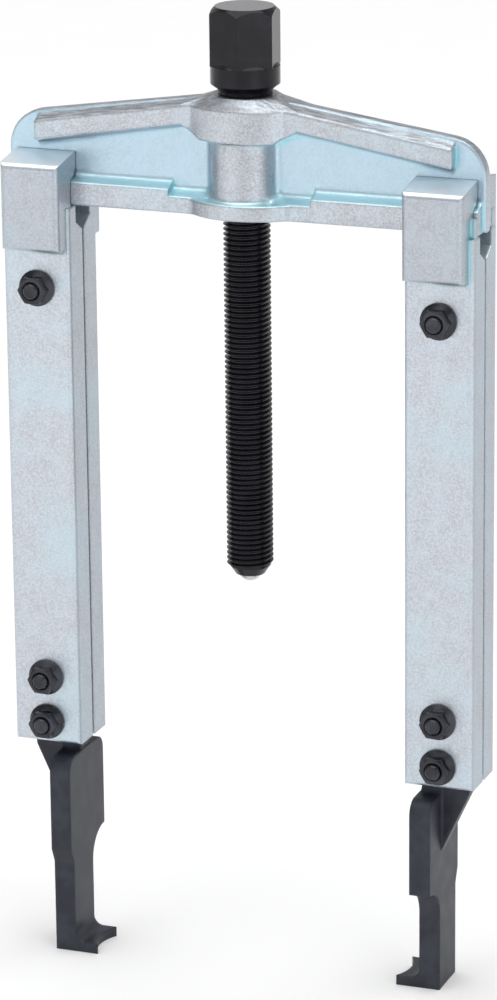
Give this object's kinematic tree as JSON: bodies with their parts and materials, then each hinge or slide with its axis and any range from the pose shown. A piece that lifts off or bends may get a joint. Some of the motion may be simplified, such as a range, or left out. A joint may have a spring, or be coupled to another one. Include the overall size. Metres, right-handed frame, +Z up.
{
  "type": "gear puller",
  "caption": "Two-arm gear puller: threaded spindle in a forged beam, sliding arms with thin hooked claws for bearings and gears in tight gaps.",
  "frame": {"origin": "on the spindle axis, level with the underside of the claws", "axes": "+X along the beam to the right arm, +Y to the back (bolt heads), +Z up along the spindle to its hexagon"},
  "size_m": [0.1908, 0.0426, 0.383],
  "materials": {
    "forged_zinc": "zinc-plated forging, fine grain, satin, bluish in the recesses",
    "leg_zinc": "zinc-plated forged plate, fine grain, satin",
    "claw_steel": "phosphated tool steel, dark slate grey, satin",
    "black_steel": "burnished black, oiled, turned",
    "fastener_steel": "black oxide, oiled",
    "ball_steel": "polished bearing steel"
  },
  "bodies": {
    "beam": {"cross_beam": "forged_zinc"},
    "thrust_carrier": {"thrust_ball": "ball_steel"},
    "spindle": {"spindle": "black_steel"},
    "left_arm": {"left_front_plate": "leg_zinc", "left_back_plate": "leg_zinc", "left_claw": "claw_steel", "left_lower_bolt": "fastener_steel", "left_lower_nut": "fastener_steel", "left_middle_bolt": "fastener_steel", "left_middle_nut": "fastener_steel", "left_upper_bolt": "fastener_steel", "left_upper_nut": "fastener_steel"},
    "right_arm": {"right_front_plate": "leg_zinc", "right_back_plate": "leg_zinc", "right_claw": "claw_steel", "right_lower_bolt": "fastener_steel", "right_lower_nut": "fastener_steel", "right_middle_bolt": "fastener_steel", "right_middle_nut": "fastener_steel", "right_upper_bolt": "fastener_steel", "right_upper_nut": "fastener_steel"}
  },
  "joints": [
    {"name": "spindle_feed", "type": "slide", "parent": "beam", "child": "thrust_carrier", "axis": [0, 0, 1], "range_m": [0, 0.13]},
    {"name": "spindle_turn", "type": "hinge", "parent": "thrust_carrier", "child": "spindle", "pos_m": [0, 0, 0.2], "axis": [0, 0, 1], "range_deg": [0, 23400]},
    {"name": "left_arm_slide", "type": "slide", "parent": "beam", "child": "left_arm", "axis": [1, 0, 0], "range_m": [0, 0.04]},
    {"name": "right_arm_slide", "type": "slide", "parent": "beam", "child": "right_arm", "axis": [-1, 0, 0], "range_m": [0, 0.04]}
  ],
  "couplings": [
    {"joint": "spindle_turn", "follows": "spindle_feed", "rad_per_m": 3141.6}
  ]
}
